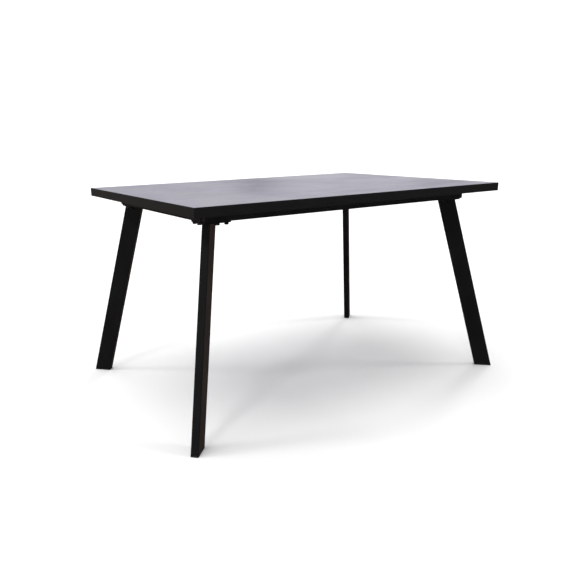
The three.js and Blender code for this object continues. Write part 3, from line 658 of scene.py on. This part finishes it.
def make_board(side, sign):
    """A half of the top: chipboard between two laminate sheets, edged at the seam."""
    low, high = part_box(f"tabletop_{side}")
    body = f"{side}_half"
    sheet = rectangle(low.x, high.x, low.y, high.y)
    face = Shape().slab([sheet], high.z - LAMINATE, high.z, ease=0.2 * MM)
    piece(f"top_laminate_{side}", face, "concrete_laminate", body, [f"tabletop_{side}"])
    backing = Shape().slab([sheet], low.z, low.z + LAMINATE, ease=0.2 * MM)
    piece(f"backing_laminate_{side}", backing, "concrete_laminate", body)

    section = rectangle(low.y, high.y, low.z + LAMINATE, high.z - LAMINATE)
    bores = []
    for row in ROWS:
        start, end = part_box(f"seam_dowel_{row}")
        middle = (start + end) / 2
        bores.append(hole(circle(middle.y, middle.z, DOWEL_BORE)))
    seam, outer = (low.x, high.x) if sign > 0 else (high.x, low.x)
    inner = seam + sign * SEAM_EDGING
    strip = Shape().slab([section, *bores], *sorted((seam, inner)), ease=0.1 * MM, place=ALONG_X)
    piece(f"seam_edging_{side}", strip, "edge_band", body)

    core = Shape()
    near = [core.loop((inner, y, z) for y, z in outline) for outline in (section, *bores)]
    far = core.loop((outer, y, z) for y, z in section)
    core.cap(*near)
    core.wall(near[0], far)
    core.cap(far)
    for bore, mouth in zip(bores, near[1:]):
        bottom = core.loop((seam + sign * DOWEL_BORE_DEPTH, y, z) for y, z in bore)
        core.wall(mouth, bottom)
        core.cap(bottom)
    piece(f"board_core_{side}", core, "concrete_laminate", body, look="chipboard")


def band_section(face, back, low, high):
    """An edge strip's outline across its length, rounded where it faces out."""
    corners = rectangle(*sorted((face, back)), low, high)
    return rounded(corners, [BAND_RADIUS if across == face else 0.1 * MM for across, _ in corners])


def make_edge_bands(side, sign):
    """A strip along each outer edge of a half. The end strip covers the ends of the others."""
    low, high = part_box(f"edge_band_{side}")
    seam, end = (low.x, high.x) if sign > 0 else (high.x, low.x)
    inner_end = end - sign * BAND_THICKNESS
    body = f"{side}_half"
    for row, out in ROWS.items():
        edge = high.y if out > 0 else low.y
        outline = band_section(edge, edge - out * BAND_THICKNESS, low.z, high.z)
        strip = Shape().slab([outline], *sorted((seam, inner_end)), place=ALONG_X)
        piece(f"edge_strip_{side}_{row}", strip, "edge_band", body)
    outline = band_section(end, inner_end, low.z, high.z)
    strip = Shape().slab([outline], low.y, high.y, ease=0.08 * MM, place=ALONG_Y)
    piece(f"edge_strip_{side}_end", strip, "edge_band", body, [f"edge_band_{side}"])


def make_dowel(row):
    """A fluted dowel, glued into the right half."""
    low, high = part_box(f"seam_dowel_{row}")
    radius, length = (high.z - low.z) / 2, high.x - low.x
    middle = (low + high) / 2
    chamfer = 1 * MM
    profile = [
        (radius - chamfer, 0), (radius, chamfer),
        (radius, length - chamfer), (radius - chamfer, length),
    ]
    sides = 48
    flute = 0.25 * MM

    def fluted(r, angle):
        return r - (flute if round(angle * sides / 2 / math.pi) % 2 else 0)

    place = at(low.x, middle.y, middle.z, up=(1, 0, 0))
    dowel = Shape().turned(profile, place, sides=sides, radius=fluted)
    piece(f"fluted_dowel_{row}", dowel, "beech", "right_half", [f"seam_dowel_{row}"])


# ------------------------------------------------------------------ frame


def make_long_rail(row, out):
    """A folded C rail with its lower end corners rounded off."""
    low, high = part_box(f"frame_rail_{row}")
    face, lip = (high.y, low.y) if out > 0 else (low.y, high.y)
    web = face - out * RAIL_WALL
    fine = [low.z + RAIL_BEND + (RAIL_END_RADIUS - RAIL_BEND) * i / 2 for i in range(1, 3)]
    corners = [
        (lip, low.z), (face, low.z), *((face, z) for z in fine), (face, high.z), (lip, high.z),
        (lip, high.z - RAIL_WALL), (web, high.z - RAIL_WALL), (web, low.z + RAIL_WALL),
        (lip, low.z + RAIL_WALL),
    ]
    inner = RAIL_BEND - RAIL_WALL
    radii = [0.4 * MM, RAIL_BEND, 0, 0, RAIL_BEND, 0.4 * MM, 0.4 * MM, inner, inner, 0.4 * MM]
    outline = rounded(corners, radii, steps=5)

    def end_at(z):
        below = max(0.0, low.z + RAIL_END_RADIUS - z)
        return high.x - RAIL_END_RADIUS + math.sqrt(max(0.0, RAIL_END_RADIUS**2 - below**2))

    def end_cap(sign, end, bottom):
        """The strip across a rail's end, in (x, z), bent in under the rail's rounded corner."""
        def arc(radius):
            turns = [math.pi / 2 * i / 6 for i in range(7)]
            x, z = end - RAIL_END_RADIUS, bottom + RAIL_END_RADIUS
            return [(x + radius * math.cos(t), z - radius * math.sin(t)) for t in turns]

        top = bottom + RAIL_CAP_HEIGHT
        outer, inner = arc(RAIL_END_RADIUS), arc(RAIL_END_RADIUS - RAIL_WALL)
        strip = [(end, top), *outer, *reversed(inner), (end - RAIL_WALL, top)]
        return [(sign * x, z) for x, z in (strip[::-1] if sign > 0 else strip)]

    sunk = 0.1 * MM
    rail = Shape()
    rings = [rail.loop((sign * end_at(z), y, z) for y, z in outline) for sign in SIDES.values()]
    rail.tube(rings)
    for sign in SIDES.values():
        cap = end_cap(sign, high.x - sunk, low.z + sunk)
        rail.slab([cap], *sorted((lip, web)), 0.3 * MM, ALONG_Y)
    piece(f"c_rail_{row}", rail, "black_powder_coat", "base", [f"frame_rail_{row}"])


def make_end_rail(side):
    low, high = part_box(f"frame_end_rail_{side}")
    outer = rounded(rectangle(low.x, high.x, low.z, high.z), 2.2 * MM)
    bore = inset(rectangle(low.x, high.x, low.z, high.z), RAIL_WALL)
    tube = Shape().slab([outer, hole(rounded(bore, 0.6 * MM))], low.y, high.y, 0.25 * MM, ALONG_Y)
    piece(f"end_tube_{side}", tube, "black_powder_coat", "base", [f"frame_end_rail_{side}"])


# ------------------------------------------------------------------ legs


def level_outline(long, short, corner):
    return rounded(rectangle(-long / 2, long / 2, -short / 2, short / 2), corner, 6)


def leg_line(row, side):
    """The length of the leg's level section, and the placement that leans an upright piece,
    drawn about the Z axis, onto the leg."""
    low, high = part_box(f"leg_{row}_{side}")
    signs = SIDES[side], ROWS[row]
    height = high.z - low.z
    diagonal = math.sqrt(0.5)

    def reach(long):
        """From the section's centre to the sides of its box."""
        return (long / 2 + TUBE_SHORT / 2 - 2 * TUBE_CORNER) * diagonal + TUBE_CORNER

    # The section's length and the lean depend on each other, and a few rounds settle both.
    long = TUBE_LONG
    for _ in range(8):
        lean = [(end - start - 2 * reach(long)) / height for start, end in zip(low.xy, high.xy)]
        long = TUBE_LONG * math.hypot(1, *lean)
    outer = [(high if sign > 0 else low)[axis] for axis, sign in enumerate(signs)]
    foot = [
        edge - sign * reach(long) + sign * slope * low.z
        for edge, sign, slope in zip(outer, signs, lean)
    ]
    shear = Matrix((
        (1, 0, -signs[0] * lean[0], foot[0]),
        (0, 1, -signs[1] * lean[1], foot[1]),
        (0, 0, 1, 0),
        (0, 0, 0, 1),
    ))
    return long, shear @ Matrix.Rotation(math.atan2(signs[1], signs[0]), 4, "Z")


def make_leg(row, side):
    """An open rectangular tube, its foot glide, and the weld round its top."""
    low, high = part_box(f"leg_{row}_{side}")
    long, place = leg_line(row, side)
    stretch = long / TUBE_LONG
    outer = level_outline(long, TUBE_SHORT, TUBE_CORNER)
    inner = level_outline(
        (TUBE_LONG - 2 * TUBE_WALL) * stretch,
        TUBE_SHORT - 2 * TUBE_WALL,
        TUBE_CORNER - TUBE_WALL,
    )
    tube = Shape().slab([outer, hole(inner)], low.z, high.z, 0.3 * MM, place)
    piece(f"leg_tube_{row}_{side}", tube, "black_powder_coat", "base", [f"leg_{row}_{side}"])

    foot_low, foot_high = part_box(f"foot_glide_{row}_{side}")
    pad_top = low.z - 0.2 * MM
    plug = inset(inner, 0.5 * MM)
    glide = Shape().slab([outer], foot_low.z, pad_top, 0.9 * MM, place)
    glide.slab([plug], pad_top - 0.5 * MM, foot_high.z, 0.6 * MM, place)
    piece(f"glide_{row}_{side}", glide, "black_plastic", "base", [f"foot_glide_{row}_{side}"])

    plate_low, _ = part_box(f"leg_plate_{row}_{side}")
    add_weld(row, side, inset(outer, -WELD_OFFSET), plate_low.z, place)


def add_weld(row, side, outline, level, place):
    """A rippled bead all round, where the leg meets its plate."""
    path = [place @ Vector((x, y, level)) for x, y in outline]
    lengths = [(path[(i + 1) % len(path)] - p).length for i, p in enumerate(path)]
    total = sum(lengths)
    count = round(total / WELD_STEP / 2) * 2
    angles = [2 * math.pi * i / WELD_SIDES for i in range(WELD_SIDES)]
    bead = Shape()
    rings = []
    for step in range(count):
        along = total * step / count
        index = 0
        while along > lengths[index]:
            along -= lengths[index]
            index += 1
        ahead = path[(index + 1) % len(path)] - path[index]
        centre = path[index] + ahead * along / lengths[index]
        across = ahead.cross(Vector((0, 0, 1))).normalized()
        size = WELD_RADIUS * (1.0 if step % 2 else WELD_DIP) * draw.uniform(0.95, 1.05)
        rings.append(bead.loop(
            centre + across * size * math.cos(a) + Vector((0, 0, size * math.sin(a)))
            for a in angles
        ))
    for i, ring in enumerate(rings):
        bead.wall(rings[i - 1], ring)
    piece(f"weld_{row}_{side}", bead, "black_powder_coat", "base")


def make_plate(row, side):
    """A leg plate with its four bolts, and the rivet nuts that they are screwed into."""
    low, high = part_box(f"leg_plate_{row}_{side}")
    names = [f"plate_bolt_{row}_{side}_{i}" for i in range(1, 5)]
    boxes = [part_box(name) for name in names]
    centres = [(a + b) / 2 for a, b in boxes]
    outline = rounded(rectangle(low.x, high.x, low.y, high.y), PLATE_CORNER, 10)
    holes = [hole(circle(c.x, c.y, BOLT_HOLE)) for c in centres]
    plate = Shape().slab([outline, *holes], low.z, high.z, 0.7 * MM)
    node = f"leg_plate_{row}_{side}"
    piece(f"top_plate_{row}_{side}", plate, "black_powder_coat", "base", [node])

    nuts = Shape()
    rail_low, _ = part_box(f"frame_rail_{row}")
    nut_seat = rail_low.z + RAIL_WALL + 0.05 * MM
    for name, centre, (_, top) in zip(names, centres, boxes):
        bolt = Shape()
        turn = draw.uniform(0, math.pi / 3)
        seat = low.z - 0.1 * MM
        place = at(centre.x, centre.y, seat, up=(0, 0, -1), turn=turn)
        add_flange_bolt(bolt, place, top.z - seat)
        piece(name.replace("plate_bolt", "flange_bolt"), bolt, "black_zinc", "base", [name])
        nuts.turned(RIVET_NUT, at(centre.x, centre.y, nut_seat))
    piece(f"rivet_nuts_{row}_{side}", nuts, "zinc_plate", "base")


# ------------------------------------------------------------------ slides and gear


def make_runner(side, row, out):
    """An extruded runner, screwed to the top through its inner flange."""
    node = f"slide_runner_{side}_{row}"
    low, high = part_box(node)
    _, rail_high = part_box(f"frame_rail_{row}")
    near, far = (low.y, high.y) if out > 0 else (high.y, low.y)
    lip_bottom = rail_high.z + 1.0 * MM
    neck = near + out * 16 * MM, near + out * 20 * MM
    tongue_top = low.z + 5 * MM
    tongue_end = far - out * 1 * MM
    corners = [
        (near, lip_bottom), (neck[0], lip_bottom), (neck[0], low.z), (tongue_end, low.z),
        (tongue_end, tongue_top), (neck[1], tongue_top), (neck[1], lip_bottom), (far, lip_bottom),
        (far, high.z), (near, high.z),
    ]
    radii = [size * MM for size in (0.5, 1.0, 0.8, 0.8, 0.8, 0.4, 0.4, 0.5, 0.5, 0.5)]
    if out < 0:
        corners.reverse()
        radii.reverse()
    outline = rounded(corners, radii, 3)
    runner = Shape().slab([outline], low.x, high.x, 0.15 * MM, ALONG_X)
    body = f"{side}_half"
    made = piece(f"runner_{side}_{row}", runner, "aluminium_slide", body, [node])
    flange_middle = near + out * 8 * MM
    first, last = low.x + 25 * MM, high.x - 25 * MM
    heads = []
    for i in range(5):
        x = first + (last - first) * i / 4
        heads.append(at(x, flange_middle, lip_bottom, up=(0, 0, -1)))
    drill(made, heads)
    screws = Shape()
    for head in heads:
        add_screw(screws, FLAT_HEAD, head)
    piece(f"runner_screws_{side}_{row}", screws, "zinc_plate", body)


def make_rack_screws(side, sign):
    low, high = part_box(f"sync_rack_{side}")
    back = low.y if sign < 0 else high.y
    screws = Shape()
    for along in RACK_SCREWS:
        place = at(sign * along, back - sign * 5 * MM, low.z, up=(0, 0, -1))
        add_screw(screws, PAN_HEAD, place)
    piece(f"rack_screws_{side}", screws, "zinc_plate", f"{side}_half")


def make_gear_fittings():
    """The nut under the shoulder bolt, and the bracket's screws."""
    low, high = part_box("pinion_shoulder_bolt")
    axis = (low + high) / 2
    bracket_low, bracket_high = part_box("gear_bracket")
    chamfer = PINION_NUT_CHAMFER
    rings = [
        (PINION_NUT_CROWN, 0), (HEXAGON, -chamfer),
        (HEXAGON, chamfer - PINION_NUT_HEIGHT), (PINION_NUT_CROWN, -PINION_NUT_HEIGHT),
    ]
    nut = Shape()
    add_hexagonal(nut, rings, Matrix.Translation((axis.x, axis.y, bracket_low.z - 0.1 * MM)))
    piece("pinion_nut", nut, "zinc_plate", "base")
    screws = Shape()
    for x in (bracket_low.x + 15 * MM, bracket_high.x - 15 * MM):
        add_screw(screws, PAN_HEAD, at(x, bracket_low.y + 8 * MM, bracket_high.z), SHORT_SCREW)
    piece("bracket_screws", screws, "zinc_plate", "base")


# ------------------------------------------------------------------ stored leaf


def make_leaf_panel(level):
    """A leaf panel with laminate on both faces and an edge strip all round."""
    low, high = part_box(f"leaf_panel_{level}")
    edge = rectangle(low.x, high.x, low.y, high.y)
    strip_thickness = 1.2 * MM
    board = inset(edge, strip_thickness)
    panel = Shape().slab([board], low.z, high.z, ease=0.2 * MM)
    piece(f"leaf_board_{level}", panel, "concrete_laminate", "base", [f"leaf_panel_{level}"])
    ring = [rounded(edge, 1.0 * MM), hole(inset(board, -0.1 * MM))]
    strip = Shape().slab(ring, low.z, high.z, ease=0.2 * MM)
    piece(f"leaf_edging_{level}", strip, "edge_band", "base")


def make_tray_bar(side):
    """A flat bar with bent ends under the folded leaf, screwed down inside the rails."""
    node = f"leaf_tray_bar_{side}"
    low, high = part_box(node)
    leaf_low, leaf_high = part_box("leaf_panel_lower")
    thickness = 3 * MM
    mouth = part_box("frame_rail_back")[0].y - 8 * MM
    top = [
        (low.y, high.z), (-mouth, high.z), (leaf_low.y - 6 * MM, low.z + thickness),
        (leaf_high.y + 12 * MM, low.z + thickness), (mouth, high.z), (high.y, high.z),
    ]
    bottom = [(y, z - thickness) for y, z in reversed(top)]
    radii = [0.4 * MM] + [4 * MM] * 4 + [0.4 * MM]
    outline = rounded((top + bottom)[::-1], radii + radii, 5)
    bar = Shape().slab([outline], low.x, high.x, 0.6 * MM, ALONG_X)
    piece(f"tray_strap_{side}", bar, "black_powder_coat", "base", [node])
    screws = Shape()
    margin = 8 * MM
    for y in (low.y + margin, high.y - margin):
        for x in (low.x + margin, high.x - margin):
            add_screw(screws, PAN_HEAD, at(x, y, high.z), SHORT_SCREW)
    piece(f"tray_screws_{side}", screws, "zinc_plate", "base")


def make_hinge_screws(side):
    """Three screws through each flap of a hinge, into the panel's back edge."""
    flap_face = 1.75 * MM
    spacing = 20 * MM
    screws = Shape()
    for level, shift in (("lower", -2.5 * MM), ("upper", 2.5 * MM)):
        low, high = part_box(f"leaf_hinge_{side}_{level}_flap")
        panel_low, panel_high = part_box(f"leaf_panel_{level}")
        face = panel_high.y + flap_face
        middle = (panel_low.z + panel_high.z) / 2 + shift
        centre = (low.x + high.x) / 2
        for x in (centre - spacing, centre, centre + spacing):
            add_screw(screws, PAN_HEAD, at(x, face, middle, up=(0, 1, 0)))
    piece(f"hinge_screws_{side}", screws, "zinc_plate", "base")


# ------------------------------------------------------------------ seam latch


def make_latch_plate(node, name, body, post_x, cap_radius):
    """A latch plate with a post, screwed up into the top. A cap radius keeps the lever on."""
    low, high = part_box(node)
    thickness = 2.6 * MM
    outline = rounded(rectangle(low.x, high.x, low.y, high.y), 4 * MM, 6)
    plate = Shape().slab([outline], high.z - thickness, high.z, 0.4 * MM)
    made = piece(name, plate, "zinc_plate", body, [node])
    centre_y = (low.y + high.y) / 2
    post = 4 * MM
    if cap_radius:
        cap, edge = 1.5 * MM, 0.5 * MM
        profile = [(cap_radius - edge, 0), (cap_radius, edge), (cap_radius, cap), (post, cap)]
    else:
        profile = [(post - 0.6 * MM, 0), (post, 0.2 * MM)]
    profile.append((post, high.z - thickness - low.z))
    stem = Shape().turned(profile, at(post_x, centre_y, low.z))
    piece(f"{name}_post", stem, "zinc_plate", body)
    margin = 5 * MM
    heads = []
    for x in (low.x + margin, high.x - margin):
        for y in (low.y + margin, high.y - margin):
            heads.append(at(x, y, high.z - thickness, up=(0, 0, -1)))
    drill(made, heads)
    screws = Shape()
    for head in heads:
        add_screw(screws, FLAT_HEAD, head)
    piece(f"{name}_screws", screws, "zinc_plate", body)


# ------------------------------------------------------------------ assembly

for side, sign in SIDES.items():
    make_board(side, sign)
    make_edge_bands(side, sign)
    make_end_rail(side)
    make_rack_screws(side, sign)
    make_tray_bar(side)
    make_hinge_screws(side)
    for row, out in ROWS.items():
        make_runner(side, row, out)
for row, out in ROWS.items():
    make_long_rail(row, out)
    make_dowel(row)
for row, side in CORNERS:
    make_leg(row, side)
    make_plate(row, side)
for level in ("lower", "upper"):
    make_leaf_panel(level)
make_gear_fittings()

base_low, base_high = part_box("latch_base")
keeper_low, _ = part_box("latch_keeper")
pivot_x = (base_low.x + base_high.x) / 2
make_latch_plate("latch_base", "latch_plate", "left_half", pivot_x, 6 * MM)
make_latch_plate("latch_keeper", "keeper_plate", "right_half", keeper_low.x + 11 * MM, 0)

for node in ("sync_rack_left", "sync_rack_right", "sync_pinion"):
    keep(node, "nylon_gear", 0.25 * MM)
for node in ("gear_bracket", "pinion_shoulder_bolt", "latch_lever"):
    keep(node, "zinc_plate", 0.4 * MM)
for side in SIDES:
    for part in ("lower_flap", "upper_flap", "pin"):
        keep(f"leaf_hinge_{side}_{part}", "zinc_plate", 0.2 * MM)

# ------------------------------------------------------------------ floor, light and camera


def make_floor():
    """A wide white floor, and a white dome over it that only the camera sees."""
    white = bpy.data.materials.new("white_floor")
    white.use_nodes = True
    shader = white.node_tree.nodes["Principled BSDF"]
    shader.inputs["Base Color"].default_value = (0.93, 0.93, 0.93, 1)
    shader.inputs["Roughness"].default_value = 0.9
    shader.inputs["Specular IOR Level"].default_value = 0.0
    bpy.ops.mesh.primitive_circle_add(vertices=96, radius=60, fill_type="NGON")
    floor = bpy.context.object
    floor.name = "floor"
    floor.data.materials.append(white)
    floor.visible_glossy = False

    glow = bpy.data.materials.new("backdrop")
    glow.use_nodes = True
    nodes = glow.node_tree.nodes
    emission = nodes.new("ShaderNodeEmission")
    emission.inputs["Strength"].default_value = 1.2
    glow.node_tree.links.new(emission.outputs[0], nodes["Material Output"].inputs[0])
    bpy.ops.mesh.primitive_uv_sphere_add(segments=64, ring_count=32, radius=55)
    dome = bpy.context.object
    dome.name = "backdrop"
    dome.data.materials.append(glow)
    for kind in ("diffuse", "glossy", "transmission", "volume_scatter", "shadow"):
        setattr(dome, f"visible_{kind}", False)


def make_world():
    """Soft light from all round. What lies below the horizon only shows as reflection: it is
    bright and warm towards the back left and the right, and dark towards the front right."""
    world = bpy.data.worlds.new("studio")
    bpy.context.scene.world = world
    world.use_nodes = True
    made = Nodes(world.node_tree)
    direction = made.node("TexCoord").node.outputs["Generated"]
    height = made.node("SeparateXYZ", {0: direction}, output=2)

    def towards(x, y):
        """How far the direction points along a level one, from -1 to 1."""
        both = {0: direction, 1: (x, y, 0)}
        return made.node("VectorMath", both, output=1, operation="DOT_PRODUCT")

    to_back_left = made.between(towards(-0.53, 0.85), -0.9, 0.9)
    across = made.mix(to_back_left, (0.03, 0.03, 0.04, 1), (0.27, 0.215, 0.195, 1))
    to_right = made.between(towards(0.85, 0.53), 0.4, 1.0)
    below = made.mix(to_right, across, (0.38, 0.28, 0.23, 1))
    sky_tone = made.between(height, 0.0, 1.0, 0.34, 0.44)
    sky = made.node("CombineColor", {0: sky_tone, 1: sky_tone, 2: sky_tone})
    light = made.mix(made.between(height, -0.05, 0.05), below, sky)
    made.feed(world.node_tree.nodes["Background"].inputs["Color"], light)


def make_sun(name, energy, spread, tilt, turn):
    """A wide soft light, tilted from overhead towards a compass direction."""
    lamp = bpy.data.lights.new(name, "SUN")
    lamp.energy = energy
    lamp.angle = math.radians(spread)
    light = bpy.data.objects.new(name, lamp)
    light.rotation_euler = (0, math.radians(tilt), math.radians(turn))
    bpy.context.scene.collection.objects.link(light)


def make_lights():
    """One soft light from overhead, and one from beyond each corner of the table."""
    make_sun("overhead", energy=1.75, spread=54, tilt=12, turn=137)
    for turn in (33.5, 146.5, 213.5, 326.5):
        make_sun("corner", energy=0.5, spread=12, tilt=48, turn=turn)


def make_camera():
    """Eye height, from the front left. Fitted so that the table's edges fall as in the photo."""
    yaw, pitch, roll = math.radians(32.349), math.radians(16.518), math.radians(-0.972)
    out = math.cos(pitch)
    ahead = Vector((math.sin(yaw) * out, math.cos(yaw) * out, -math.sin(pitch)))
    level = Vector((math.cos(yaw), -math.sin(yaw), 0))
    top = level.cross(ahead)
    right = math.cos(roll) * level + math.sin(roll) * top
    up = math.cos(roll) * top - math.sin(roll) * level
    data = bpy.data.cameras.new("camera")
    data.sensor_width = 36
    data.lens = 38.874
    data.shift_x = 0.0414
    data.shift_y = 0.0567
    data.clip_end = 200
    camera = bpy.data.objects.new("camera", data)
    turned = Matrix((right, up, -ahead)).transposed().to_4x4()
    camera.matrix_world = Matrix.Translation((-1.4103, -1.9889, 0.9396)) @ turned
    bpy.context.scene.collection.objects.link(camera)
    bpy.context.scene.camera = camera


make_floor()
make_world()
make_lights()
make_camera()
bpy.context.scene.view_settings.view_transform = "Standard"
